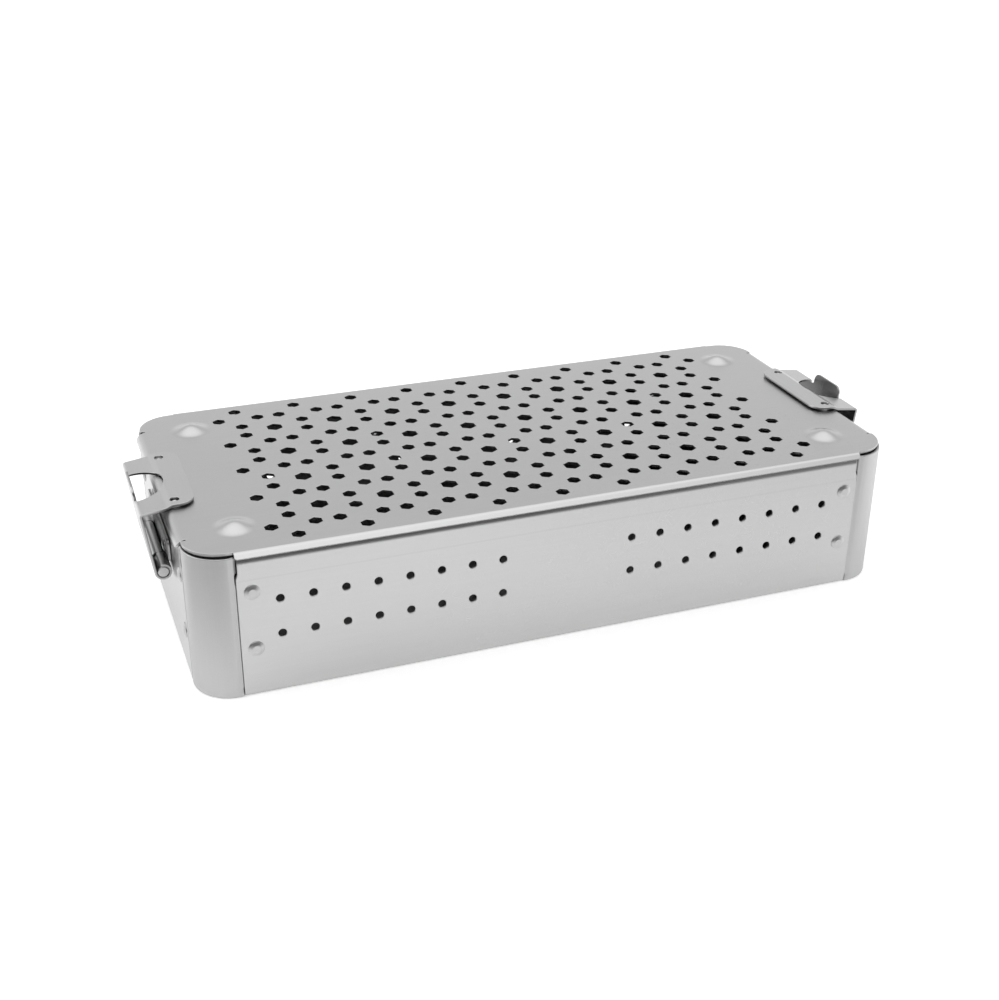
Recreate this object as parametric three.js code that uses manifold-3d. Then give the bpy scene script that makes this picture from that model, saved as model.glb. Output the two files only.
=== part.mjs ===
// Sheet-metal container for surgical instruments: a perforated tray with riveted corner inserts,
// a perforated lid, and a spring latch at each end that turns on a hinge pin.
// Millimetres, +X along the length, +Y to the back, +Z up. The tray stands on z = 0.

import * as THREE from "three";
import * as BufferGeometryUtils from "three/addons/utils/BufferGeometryUtils.js";
import Module from "manifold-3d";

const wasm = await Module();
wasm.setup();

// Tray: one folded sheet, floor and four walls
const traySheet = 1.0;
const trayLength = 236.0;
const trayWidth = 109.6;
const wallHeight = 47.7;
const floorBend = 1.4;
const hemRadius = 2.2;
const hemDepth = 8.7;
const reliefWidth = 0.6;
const reliefDepth = 7.4;
const reliefTaper = 2.0;

// Corner inserts: rounded pieces set flush between the walls, with a tab behind each wall
const cornerRadius = 12.2;
const cornerFlat = 1.2;
const seamGap = 0.3;
const insertDrop = 0.5;
const tabGap = 0.1;
const tabLength = 9.0;
const tabBottom = 3.2;
const tabHemGap = 0.5;

// Rivets of the corner inserts, with a low domed head that is flat in the middle
const cornerRivetInset = 4.6;
const cornerRivetDrops = [31.4, 12.2];
const rivetShankRadius = 1.3;
const rivetHoleGap = 0.2;
const rivetHeadRadius = 2.45;
const rivetHeadEdge = 0.12;
const rivetDomeRadius = 4.9;
const rivetFlatRadius = 1.15;
const rivetHeadGap = 0.05;
const rivetTailRadius = 2.2;
const rivetTailThickness = 0.5;

// Round holes in the long walls
const sideHoleRadius = 1.25;
const sideHolePitch = 10.0;
const sideHoleInset = 12.7;
const sideHoleBareHalf = 20.0;
const sideHoleDrops = [27.6, 15.7];

// Lid: one sheet, turned down on all four sides between its corners
const lidSheet = 1.0;
const lidClearance = 0.3;
const lidSideBend = 1.5;
const lidSideSweep = THREE.MathUtils.degToRad(50);
const lidSideLip = 1.2;
const lidSideClearance = 0.1;
const lidEndSweep = THREE.MathUtils.degToRad(75);
const lidCornerRadius = 11.6;
const lidCornerSetbackX = 0.4;
const lidCornerSetbackY = 1.1;
const lidSlit = 0.7;
const lidSlitGap = 0.3;

// Hexagonal holes: large ones on a square grid, small ones in pairs on the grid's half lines
const hexPitch = 21.0;
const hexEndMargin = 30.5;
const hexSideMargin = 10.0;
const hexPairHalfGap = 3.78;
const largeHexAcross = 5.0;
const smallHexAcross = 4.0;

// Round embosses that locate stacked containers
const embossInsetX = 17.0;
const embossInsetY = 16.8;
const embossRadius = 6.5;
const embossHeight = 1.5;
const embossRim = 1.0;

// Hinge at each end
const hingeDrop = 21.0;
const pinRadius = 1.8;
const pinChamfer = 0.3;
const curlClearance = 0.08;
const bracketSheet = 0.8;
const bracketGap = 0.3;
const bracketSideInset = 0.2;
const bracketRise = 10.4;
const bracketEarGap = 0.3;
const bracketCornerRadius = 1.5;
const knuckleHalfWidth = 11.2;
const knuckleGap = 0.3;
const bracketCurlSweep = THREE.MathUtils.degToRad(300);
const bracketRivetInset = 6.5;
const bracketRivetRise = 6.0;
const bracketRivetShankRadius = 1.1;
const bracketRivetHeadRadius = 2.0;
const bracketRivetHeadHeight = 0.8;
const bracketRivetSeat = 0.05;

// Latch: one bent sheet, from its pad on the lid down to its curl round the pin
const latchSheet = 0.8;
const latchHalfWidth = 20.2;
const latchLean = THREE.MathUtils.degToRad(7.6);
const padGap = 0.6;
const padReach = 9.1;
const padCornerRadius = 5.5;
const padFlatInset = 1.8;
const stepRun = 1.9;
const stepDrop = 0.85;
const stepRadius = 2.0;
const shoulderDrop = 0.6;
const shoulderRadius = 1.1;
const latchCurlSweep = THREE.MathUtils.degToRad(280);
const springHoleRadius = 1.5;
const springHoleSideInset = 4.0;
const springHoleEndInset = 3.0;
const windowHalfWidth = 10.2;
const windowInset = 1.9;
const windowCornerRadius = 10.0;
const windowDepth = 1.8;
const thumbHalfWidth = 8.0;
const thumbRise = 2.6;
const thumbCornerRadius = 2.6;
const knuckleRoom = 0.6;

// Facets
const arcStep = THREE.MathUtils.degToRad(22.5);
const curlStep = THREE.MathUtils.degToRad(20);
const roundSteps = 4;
const cornerStep = THREE.MathUtils.degToRad(15);
const cornerSteps = 6;
const holeSides = 8;
const rivetSides = 8;
const rivetHeadSides = 12;
const domeSteps = 3;
const pinSides = 18;
const embossSides = 12;
const embossRings = 3;

// Cutters and joined pieces run past each other by this much
const overrun = 1.0;

// Outline points closer than this are one point
const samePoint = 1e-6;

// Values that follow from the ones above
const wallX = trayLength / 2;
const wallY = trayWidth / 2;
const seamX = wallX - cornerRadius - cornerFlat;
const seamY = wallY - cornerRadius - cornerFlat;
const lidUnder = wallHeight + lidClearance;
const lidTop = lidUnder + lidSheet;
const insertTop = wallHeight - insertDrop;
const sideHoleColumns = 1 + Math.floor((seamX - sideHoleInset - sideHoleBareHalf) / sideHolePitch);
const hexColumns = Math.floor((2 * (wallX - hexEndMargin)) / hexPitch);
const hexRows = Math.floor((2 * (wallY - hexSideMargin)) / hexPitch);
const rivetStack = 2 * traySheet + tabGap;
const curlInner = pinRadius + curlClearance;
const bracketInnerX = wallX + bracketGap;
const hingeX = bracketInnerX + bracketSheet + curlInner;
const hingeHeight = lidTop - hingeDrop;
const curlOuter = curlInner + latchSheet;
const bracketHalfWidth = latchHalfWidth - bracketSideInset;
const bracketRivetY = bracketHalfWidth - bracketRivetInset;
const bracketTop = hingeHeight + bracketRise;
const bracketEarBottom = hingeHeight + curlOuter + bracketEarGap;
const bracketRivetHeight = hingeHeight + bracketRivetRise;
const cornerRivetHeights = cornerRivetDrops.map((drop) => wallHeight - drop);
const padEdge = wallX - padReach;

const steel = new THREE.MeshStandardMaterial({ color: 0xc3c5c8, roughness: 0.42, metalness: 0.9 });
const springSteel = new THREE.MeshStandardMaterial({ color: 0xc9cbcd, roughness: 0.34, metalness: 0.95 });
const rivetSteel = new THREE.MeshStandardMaterial({ color: 0xb4b6b9, roughness: 0.38, metalness: 0.95 });

const container = new THREE.Group();

// Solids in and out of the join-and-cut library

function toSolid(geometry) {
  const bare = geometry.clone();
  bare.deleteAttribute("normal");
  bare.deleteAttribute("uv");
  const merged = BufferGeometryUtils.mergeVertices(bare);
  return new wasm.Manifold(new wasm.Mesh({
    numProp: 3,
    vertProperties: Float32Array.from(merged.attributes.position.array),
    triVerts: Uint32Array.from(merged.index.array),
  }));
}

function toGeometry(solid) {
  const mesh = solid.getMesh();
  const geometry = new THREE.BufferGeometry();
  geometry.setAttribute("position", new THREE.BufferAttribute(mesh.vertProperties, 3));
  geometry.setIndex(new THREE.BufferAttribute(mesh.triVerts, 1));
  geometry.computeVertexNormals();
  return geometry;
}

function addPart(name, geometry, material) {
  const part = new THREE.Mesh(geometry, material);
  part.name = name;
  container.add(part);
  return part;
}

// A half turn about Z, exact in every coordinate
function halfTurn(geometry) {
  return geometry.clone().scale(-1, -1, 1);
}

// Prisms: an outline extruded about its own plane, then laid along an axis

function prism(shape, low, high) {
  const geometry = new THREE.ExtrudeGeometry(shape, {
    depth: high - low,
    bevelEnabled: false,
    curveSegments: roundSteps,
  });
  return geometry.translate(0, 0, low);
}

// Outline in (Y, Z), extruded along X
function prismX(shape, low, high) {
  const turn = new THREE.Matrix4().makeBasis(
    new THREE.Vector3(0, 1, 0), new THREE.Vector3(0, 0, 1), new THREE.Vector3(1, 0, 0));
  return prism(shape, low, high).applyMatrix4(turn);
}

// Outline in (X, Z), extruded both ways along Y to the half width given
function prismY(shape, half) {
  const turn = new THREE.Matrix4().makeBasis(
    new THREE.Vector3(1, 0, 0), new THREE.Vector3(0, 0, 1), new THREE.Vector3(0, -1, 0));
  return prism(shape, -half, half).applyMatrix4(turn);
}

function box(x0, x1, y0, y1, z0, z1) {
  const geometry = new THREE.BoxGeometry(x1 - x0, y1 - y0, z1 - z0);
  return geometry.translate((x0 + x1) / 2, (y0 + y1) / 2, (z0 + z1) / 2);
}

// A solid of revolution about Z from its (radius, height) profile, listed from the top down
function turned(profile, sides) {
  const points = profile.map(([radius, height]) => new THREE.Vector2(radius, height)).reverse();
  return new THREE.LatheGeometry(points, sides).rotateX(Math.PI / 2);
}

function rod(radius, low, high, sides) {
  return turned([[0, high], [radius, high], [radius, low], [0, low]], sides);
}

// Lines of bent sheet: samples of [x, y, nx, ny], the normal pointing into the sheet

// Straight runs through corners of [x, y, radius]; the sheet lies to the left (1) or right (-1)
function bentLine(corners, side, step = arcStep) {
  const samples = [];
  const heading = (a, b) => Math.atan2(b[1] - a[1], b[0] - a[0]);
  const leftOf = (angle) => [-Math.sin(angle), Math.cos(angle)];
  const put = (x, y, n) => samples.push([x, y, side * n[0], side * n[1]]);
  const last = corners.length - 1;
  put(corners[0][0], corners[0][1], leftOf(heading(corners[0], corners[1])));
  for (let i = 1; i < last; i += 1) {
    const [x, y, radius] = corners[i];
    const before = heading(corners[i - 1], corners[i]);
    const after = heading(corners[i], corners[i + 1]);
    const turn = Math.atan2(Math.sin(after - before), Math.cos(after - before));
    if (radius === 0) {
      const n = leftOf(before + turn / 2);
      const stretch = 1 / Math.cos(turn / 2);
      put(x, y, [n[0] * stretch, n[1] * stretch]);
      continue;
    }
    const back = radius * Math.tan(Math.abs(turn) / 2);
    const start = leftOf(before);
    const bend = Math.sign(turn) * radius;
    const centreX = x - back * Math.cos(before) + bend * start[0];
    const centreY = y - back * Math.sin(before) + bend * start[1];
    const steps = Math.max(1, Math.ceil(Math.abs(turn) / step));
    for (let k = 0; k <= steps; k += 1) {
      const n = leftOf(before + (turn * k) / steps);
      put(centreX - bend * n[0], centreY - bend * n[1], n);
    }
  }
  put(corners[last][0], corners[last][1], leftOf(heading(corners[last - 1], corners[last])));
  return samples;
}

// An arc round a centre, with the sheet on the inside
function curledLine(centreX, centreY, radius, from, sweep) {
  const steps = Math.ceil(Math.abs(sweep) / curlStep);
  const samples = [];
  for (let k = 1; k <= steps; k += 1) {
    const angle = from + (sweep * k) / steps;
    const x = Math.cos(angle);
    const y = Math.sin(angle);
    samples.push([centreX + radius * x, centreY + radius * y, -x, -y]);
  }
  return samples;
}

// The closed outline of a sheet of the given thickness on its line
function sheetOutline(samples, thickness) {
  const outer = samples.map(([x, y]) => new THREE.Vector2(x, y));
  const inner = samples.map(([x, y, nx, ny]) => new THREE.Vector2(x + thickness * nx, y + thickness * ny));
  const points = [...outer, ...inner.reverse()];
  const apart = points.filter((p, i) => p.distanceTo(points[(i + 1) % points.length]) > samePoint);
  return new THREE.Shape(apart);
}

// A rectangle about the origin with round corners
function roundedRectangle(halfX, halfY, radius) {
  const shape = new THREE.Shape();
  const right = halfX - radius;
  const top = halfY - radius;
  shape.absarc(right, top, radius, 0, Math.PI / 2);
  shape.absarc(-right, top, radius, Math.PI / 2, Math.PI);
  shape.absarc(-right, -top, radius, Math.PI, Math.PI * 1.5);
  shape.absarc(right, -top, radius, Math.PI * 1.5, Math.PI * 2);
  return shape;
}

function circleHole(x, y, radius, sides) {
  const points = [];
  for (let k = 0; k < sides; k += 1) {
    const angle = (-2 * Math.PI * k) / sides;
    points.push(new THREE.Vector2(x + radius * Math.cos(angle), y + radius * Math.sin(angle)));
  }
  return new THREE.Path(points);
}

// A hexagon whose flats face along X, as a hole
function hexHole(x, y, across) {
  const radius = across / Math.sqrt(3);
  const points = [];
  for (let k = 0; k < 6; k += 1) {
    const angle = Math.PI / 2 - (Math.PI * k) / 3;
    points.push(new THREE.Vector2(x + radius * Math.cos(angle), y + radius * Math.sin(angle)));
  }
  return new THREE.Path(points);
}

// Large hexagons on the grid, centred
function largeHexes() {
  const holes = [];
  for (let i = 0; i < hexColumns; i += 1) {
    for (let j = 0; j < hexRows; j += 1) {
      const x = (i - (hexColumns - 1) / 2) * hexPitch;
      const y = (j - (hexRows - 1) / 2) * hexPitch;
      holes.push(hexHole(x, y, largeHexAcross));
    }
  }
  return holes;
}

// Small hexagons in pairs on the half lines between the large ones, and one pitch round them
function smallHexes() {
  const holes = [];
  const halfX = (hexColumns / 2) * hexPitch;
  const halfY = (hexRows / 2) * hexPitch;
  const gridX = halfX - hexPitch / 2;
  const gridY = halfY - hexPitch / 2;
  const place = (x, y) => holes.push(hexHole(x, y, smallHexAcross));
  for (let column = 0; column <= hexColumns; column += 1) {
    const x = column * hexPitch - halfX;
    for (let row = 0; row <= hexRows + 1; row += 1) {
      const y = (row - 1) * hexPitch - gridY;
      if (row > 0) place(x, y - hexPairHalfGap);
      if (row <= hexRows) place(x, y + hexPairHalfGap);
    }
  }
  for (let row = 0; row <= hexRows; row += 1) {
    const y = row * hexPitch - halfY;
    for (let column = 0; column <= hexColumns + 1; column += 1) {
      const x = (column - 1) * hexPitch - gridX;
      if (column > 0) place(x - hexPairHalfGap, y);
      if (column <= hexColumns) place(x + hexPairHalfGap, y);
    }
  }
  return holes;
}

const embossPlaces = [[1, 1], [-1, 1], [-1, -1], [1, -1]]
  .map(([x, y]) => [x * (wallX - embossInsetX), y * (wallY - embossInsetY)]);

// The hole in a flat sheet that an emboss fills
function embossHole([x, y]) {
  return circleHole(x, y, embossRadius + embossRim / 2, embossSides);
}

// An emboss pressed up out of a flat sheet, a cosine dome with a flat rim that laps into the sheet
function emboss([x, y], sheetBottom, thickness) {
  const height = (share) => (embossHeight * (1 + Math.cos(Math.PI * share))) / 2;
  const upper = [];
  for (let k = 0; k <= embossRings; k += 1) {
    const share = k / embossRings;
    upper.push([embossRadius * share, sheetBottom + thickness + height(share)]);
  }
  upper.push([embossRadius + embossRim, sheetBottom + thickness]);
  const lower = upper.map(([radius, z]) => [radius, z - thickness]).reverse();
  return toSolid(turned([...upper, ...lower], embossSides).translate(x, y, 0));
}

// Tray

// A wall in section: outward along the floor, up the outside, over the rolled top, down the hem
function wallSection(face) {
  const line = bentLine([
    [face - floorBend - overrun, 0, 0],
    [face, 0, floorBend],
    [face, wallHeight, hemRadius],
    [face - 2 * hemRadius, wallHeight, hemRadius],
    [face - 2 * hemRadius, wallHeight - hemDepth, 0],
  ], 1);
  return sheetOutline(line, traySheet);
}

// The relief notch at a wall's upper end, as an outline in (along the wall, height)
function reliefOutline(end) {
  const top = wallHeight + overrun;
  const foot = wallHeight - reliefDepth;
  return new THREE.Shape([
    new THREE.Vector2(end - reliefWidth, top),
    new THREE.Vector2(end - reliefWidth, foot + reliefTaper),
    new THREE.Vector2(end, foot),
    new THREE.Vector2(end + overrun, foot),
    new THREE.Vector2(end + overrun, top),
  ]);
}

function mirroredOutline(shape) {
  return new THREE.Shape(shape.getPoints().map((p) => new THREE.Vector2(-p.x, p.y)));
}

function buildTray() {
  const floor = roundedRectangle(wallX - floorBend, wallY - floorBend, cornerRadius - floorBend);
  floor.holes.push(...largeHexes());
  let pan = toSolid(new THREE.ExtrudeGeometry(floor, {
    depth: traySheet,
    bevelEnabled: false,
    curveSegments: cornerSteps,
  }));

  const sideEnd = seamX - seamGap / 2;
  let side = toSolid(prismX(wallSection(wallY), -sideEnd, sideEnd));
  const sideRelief = reliefOutline(sideEnd);
  for (const outline of [sideRelief, mirroredOutline(sideRelief)]) {
    const notch = prismY(outline, overrun + hemRadius).translate(0, wallY - hemRadius, 0);
    side = side.subtract(toSolid(notch));
  }
  const hole = rod(sideHoleRadius, -2 * traySheet, overrun, holeSides).rotateX(-Math.PI / 2);
  for (let k = 0; k < sideHoleColumns; k += 1) {
    const x = seamX - sideHoleInset - k * sideHolePitch;
    for (const drop of sideHoleDrops) {
      const z = wallHeight - drop;
      side = side.subtract(toSolid(hole.clone().translate(x, wallY, z)));
      side = side.subtract(toSolid(hole.clone().translate(-x, wallY, z)));
    }
  }
  const rivetHole = rod(rivetShankRadius + rivetHoleGap, -2 * traySheet, overrun, rivetSides);
  const sideRivet = rivetHole.clone().rotateX(-Math.PI / 2);
  for (const z of cornerRivetHeights) {
    const x = seamX - cornerRivetInset;
    side = side.subtract(toSolid(sideRivet.clone().translate(x, wallY, z)));
    side = side.subtract(toSolid(sideRivet.clone().translate(-x, wallY, z)));
  }

  const endEnd = seamY - seamGap / 2;
  let end = toSolid(prismY(wallSection(wallX), endEnd));
  const endRelief = reliefOutline(endEnd);
  const hemInner = wallX - 2 * hemRadius - overrun;
  for (const outline of [endRelief, mirroredOutline(endRelief)]) {
    end = end.subtract(toSolid(prismX(outline, hemInner, wallX + overrun)));
  }
  const endRivet = rivetHole.clone().rotateY(Math.PI / 2);
  for (const z of cornerRivetHeights) {
    const y = seamY - cornerRivetInset;
    end = end.subtract(toSolid(endRivet.clone().translate(wallX, y, z)));
    end = end.subtract(toSolid(endRivet.clone().translate(wallX, -y, z)));
  }
  const bracketHole = rod(bracketRivetShankRadius + rivetHoleGap, -2 * traySheet, overrun, rivetSides);
  bracketHole.rotateY(Math.PI / 2);
  for (const y of [bracketRivetY, -bracketRivetY]) {
    end = end.subtract(toSolid(bracketHole.clone().translate(wallX, y, bracketRivetHeight)));
  }

  for (const wall of [side, end]) {
    pan = pan.add(wall);
    pan = pan.add(toSolid(halfTurn(toGeometry(wall))));
  }
  addPart("tray_pan", toGeometry(pan), steel);
}

// Corner inserts, each about the centre of its own bend, for the corner at +X +Y

function buildInsertGeometry() {
  const reach = cornerFlat - seamGap / 2;
  const tabFace = cornerRadius - traySheet - tabGap;
  const tabEnd = cornerFlat + tabLength;
  const bendCorners = [
    [-reach, cornerRadius, 0],
    [cornerRadius, cornerRadius, cornerRadius],
    [cornerRadius, -reach, 0],
  ];
  const fullLine = [
    [-tabEnd, tabFace, 0],
    [-reach, tabFace, 0],
    ...bendCorners,
    [tabFace, -reach, 0],
    [tabFace, -tabEnd, 0],
  ];
  const bendSheet = sheetOutline(bentLine(bendCorners, -1, cornerStep), traySheet);
  const bend = toSolid(prism(bendSheet, 0, insertTop));
  const tabTop = wallHeight - hemDepth - tabHemGap;
  const fullSheet = sheetOutline(bentLine(fullLine, -1, cornerStep), traySheet);
  let insert = bend.add(toSolid(prism(fullSheet, tabBottom, tabTop)));
  const hole = rod(rivetShankRadius + rivetHoleGap, -2 * traySheet, overrun, rivetSides);
  const along = cornerFlat + cornerRivetInset;
  for (const z of cornerRivetHeights) {
    const onBack = hole.clone().rotateX(-Math.PI / 2).translate(-along, tabFace, z);
    const onEnd = hole.clone().rotateY(Math.PI / 2).translate(tabFace, -along, z);
    insert = insert.subtract(toSolid(onBack)).subtract(toSolid(onEnd));
  }
  return toGeometry(insert);
}

function buildInserts() {
  const geometry = buildInsertGeometry();
  const corners = [
    ["corner_back_right", 1, 1, 0],
    ["corner_back_left", -1, 1, 1],
    ["corner_front_left", -1, -1, 2],
    ["corner_front_right", 1, -1, 3],
  ];
  for (const [name, x, y, quarterTurns] of corners) {
    const insert = addPart(name, geometry, steel);
    insert.position.set(x * (wallX - cornerRadius), y * (wallY - cornerRadius), 0);
    insert.rotation.z = (quarterTurns * Math.PI) / 2;
  }
}

// Corner rivets, about Z with the wall's face at z = 0

function buildCornerRivets() {
  const headEdge = rivetHeadGap + rivetHeadEdge;
  const domeFoot = Math.sqrt(rivetDomeRadius ** 2 - rivetHeadRadius ** 2);
  const dome = [];
  for (let k = 0; k <= domeSteps; k += 1) {
    const radius = rivetFlatRadius + ((rivetHeadRadius - rivetFlatRadius) * k) / domeSteps;
    dome.push([radius, headEdge + Math.sqrt(rivetDomeRadius ** 2 - radius ** 2) - domeFoot]);
  }
  const tailSeat = -rivetStack - rivetHeadGap;
  const rivet = turned([
    [0, dome[0][1]],
    ...dome,
    [rivetHeadRadius, rivetHeadGap],
    [rivetShankRadius, rivetHeadGap],
    [rivetShankRadius, tailSeat],
    [rivetTailRadius, tailSeat],
    [rivetTailRadius, tailSeat - rivetTailThickness],
    [0, tailSeat - rivetTailThickness],
  ], rivetHeadSides);
  const levels = ["lower", "upper"];
  for (const [depthName, y] of [["front", -1], ["back", 1]]) {
    for (const [sideName, x] of [["left", -1], ["right", 1]]) {
      levels.forEach((level, k) => {
        const z = cornerRivetHeights[k];
        const onSide = addPart(`rivet_${depthName}_${sideName}_side_${level}`, rivet, rivetSteel);
        onSide.position.set(x * (seamX - cornerRivetInset), y * wallY, z);
        onSide.rotation.x = (-y * Math.PI) / 2;
        const onEnd = addPart(`rivet_${depthName}_${sideName}_end_${level}`, rivet, rivetSteel);
        onEnd.position.set(x * wallX, y * (seamY - cornerRivetInset), z);
        onEnd.rotation.y = (x * Math.PI) / 2;
      });
    }
  }
}

// Lid

// The lid's flat, with a slit at each end of each turned-down edge
function lidOutline(bendX, bendY, slitX, slitY) {
  const shape = new THREE.Shape();
  const reachX = wallX - lidCornerSetbackX;
  const reachY = wallY - lidCornerSetbackY;
  const centreX = reachX - lidCornerRadius;
  const centreY = reachY - lidCornerRadius;
  const quarter = Math.PI / 2;
  const corners = [[1, 1, 0], [-1, 1, 1], [-1, -1, 2], [1, -1, 3]];
  for (const [x, y, turn] of corners) {
    const fromEnd = turn % 2 === 0;
    const alongEnd = [[x * bendX, y * slitY], [x * reachX, y * slitY]];
    const alongSide = [[x * slitX, y * reachY], [x * slitX, y * bendY]];
    const [first, second] = fromEnd ? [alongEnd, alongSide] : [alongSide.reverse(), alongEnd.reverse()];
    for (const [px, py] of first) {
      if (shape.curves.length === 0 && shape.currentPoint.lengthSq() === 0) shape.moveTo(px, py);
      else shape.lineTo(px, py);
    }
    shape.absarc(x * centreX, y * centreY, lidCornerRadius, turn * quarter, (turn + 1) * quarter);
    for (const [px, py] of second) shape.lineTo(px, py);
  }
  return shape;
}

function buildLid() {
  const sideFace = wallY + lidSideClearance + lidSheet;
  const endBend = hemRadius + lidClearance + lidSheet;
  const bendX = wallX - hemRadius;
  const bendY = sideFace - lidSideBend * Math.sin(lidSideSweep) - lidSideLip * Math.cos(lidSideSweep);
  const sideDrop = lidSideBend * (1 - Math.cos(lidSideSweep)) + lidSideLip * Math.sin(lidSideSweep);
  const sideEnd = seamX - lidSlitGap;
  const endEnd = seamY - lidSlitGap;
  const slitX = sideEnd + lidSlit;
  const slitY = endEnd + lidSlit;
  const flat = lidOutline(bendX, bendY, slitX, slitY);
  flat.holes.push(...largeHexes(), ...smallHexes(), ...embossPlaces.map(embossHole));
  const plate = new THREE.ExtrudeGeometry(flat, {
    depth: lidSheet,
    bevelEnabled: false,
    curveSegments: cornerSteps,
  });
  let lid = toSolid(plate.translate(0, 0, lidUnder));
  for (const place of embossPlaces) lid = lid.add(emboss(place, lidUnder, lidSheet));

  const sideLine = bentLine([
    [bendY - overrun, lidTop, 0],
    [bendY + lidSideBend * Math.tan(lidSideSweep / 2), lidTop, lidSideBend],
    [sideFace, lidTop - sideDrop, 0],
  ], -1);
  const side = prismX(sheetOutline(sideLine, lidSheet), -sideEnd, sideEnd);
  const endLine = [
    [bendX - overrun, lidTop, 0, -1],
    [bendX, lidTop, 0, -1],
    ...curledLine(bendX, lidTop - endBend, endBend, Math.PI / 2, -lidEndSweep),
  ];
  const end = prismY(sheetOutline(endLine, lidSheet), endEnd);
  for (const edge of [side, halfTurn(side), end, halfTurn(end)]) lid = lid.add(toSolid(edge));
  addPart("lid_panel", toGeometry(lid), steel);
}

// Hinge brackets, pins and latches, built for the right-hand end

function buildBracketGeometry() {
  const line = [
    ...bentLine([[bracketInnerX, bracketTop, 0], [bracketInnerX, hingeHeight, 0]], 1),
    ...curledLine(hingeX, hingeHeight, curlOuter, Math.PI, bracketCurlSweep),
  ];
  let bracket = toSolid(prismY(sheetOutline(line, bracketSheet), knuckleHalfWidth));
  const halfHeight = (bracketTop - bracketEarBottom) / 2;
  const leaf = prismX(roundedRectangle(bracketHalfWidth, halfHeight, bracketCornerRadius),
    bracketInnerX, bracketInnerX + bracketSheet);
  bracket = bracket.add(toSolid(leaf.translate(0, 0, bracketEarBottom + halfHeight)));
  const hole = rod(bracketRivetShankRadius + rivetHoleGap, -overrun, overrun + bracketSheet, rivetSides);
  hole.rotateY(Math.PI / 2);
  for (const y of [bracketRivetY, -bracketRivetY]) {
    bracket = bracket.subtract(toSolid(hole.clone().translate(bracketInnerX, y, bracketRivetHeight)));
  }
  return toGeometry(bracket);
}

function buildPinGeometry() {
  const half = latchHalfWidth;
  const pin = turned([
    [0, half],
    [pinRadius - pinChamfer, half],
    [pinRadius, half - pinChamfer],
    [pinRadius, pinChamfer - half],
    [pinRadius - pinChamfer, -half],
    [0, -half],
  ], pinSides);
  return pin.rotateX(Math.PI / 2).translate(hingeX, 0, hingeHeight);
}

function buildBracketRivetGeometry() {
  const leafFace = bracketGap + bracketSheet + bracketRivetSeat;
  const tailSeat = -traySheet - bracketRivetSeat;
  return turned([
    [0, leafFace + bracketRivetHeadHeight],
    [bracketRivetHeadRadius / 2, leafFace + bracketRivetHeadHeight],
    [bracketRivetHeadRadius, leafFace + bracketRivetHeadHeight / 3],
    [bracketRivetHeadRadius, leafFace],
    [bracketRivetShankRadius, leafFace],
    [bracketRivetShankRadius, tailSeat],
    [bracketRivetHeadRadius, tailSeat],
    [bracketRivetHeadRadius, tailSeat - rivetTailThickness],
    [0, tailSeat - rivetTailThickness],
  ], rivetSides).rotateY(Math.PI / 2);
}

// The latch in section: pad, step down past the lid's edge, shoulder, leaning leg, curl
function latchSection() {
  const padTop = lidTop + padGap + latchSheet;
  const padFlatEnd = wallX - padFlatInset;
  const curlStart = -latchLean;
  const legFootX = hingeX + curlOuter * Math.cos(curlStart);
  const legFootZ = hingeHeight + curlOuter * Math.sin(curlStart);
  const shoulderZ = lidTop - shoulderDrop;
  const shoulderX = legFootX + (shoulderZ - legFootZ) * Math.tan(latchLean);
  const line = [
    ...bentLine([
      [padEdge - overrun, padTop, 0],
      [padFlatEnd, padTop, stepRadius],
      [padFlatEnd + stepRun, padTop - stepDrop, stepRadius],
      [shoulderX, shoulderZ, shoulderRadius],
      [legFootX, legFootZ, 0],
    ], -1),
    ...curledLine(hingeX, hingeHeight, curlOuter, curlStart, -latchCurlSweep),
  ];
  return sheetOutline(line, latchSheet);
}

function buildLatchGeometry() {
  const outerX = hingeX + padReach;
  let latch = toSolid(prismY(latchSection(), latchHalfWidth));

  const plan = roundedRectangle((outerX + overrun - padEdge) / 2, latchHalfWidth, padCornerRadius);
  const planPrism = prism(plan, lidTop - shoulderDrop - latchSheet, lidTop + 2 * overrun);
  planPrism.translate((outerX + overrun + padEdge) / 2, 0, 0);
  const below = box(padEdge, outerX, -latchHalfWidth - overrun, latchHalfWidth + overrun,
    0, lidTop - shoulderDrop);
  latch = latch.intersect(toSolid(planPrism).add(toSolid(below)));

  const windowInnerX = wallX - windowInset;
  const windowHalfLength = outerX - windowInnerX;
  const opening = prism(roundedRectangle(windowHalfLength, windowHalfWidth, windowCornerRadius),
    lidTop - windowDepth, lidTop + 2 * overrun);
  opening.translate(windowInnerX + windowHalfLength, 0, 0);
  latch = latch.subtract(toSolid(opening));

  const springHole = rod(springHoleRadius, lidTop - overrun, lidTop + 2 * overrun, rivetSides);
  const springHoleX = wallX - springHoleEndInset;
  const springHoleY = latchHalfWidth - springHoleSideInset;
  for (const y of [springHoleY, -springHoleY]) {
    latch = latch.subtract(toSolid(springHole.clone().translate(springHoleX, y, 0)));
  }
  const room = knuckleHalfWidth + knuckleGap;
  const knuckleTop = hingeHeight + curlOuter + knuckleRoom;
  latch = latch.subtract(toSolid(box(wallX, outerX, -room, room, 0, knuckleTop)));
  return toGeometry(latch.add(toSolid(thumbTab())));
}

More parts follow.
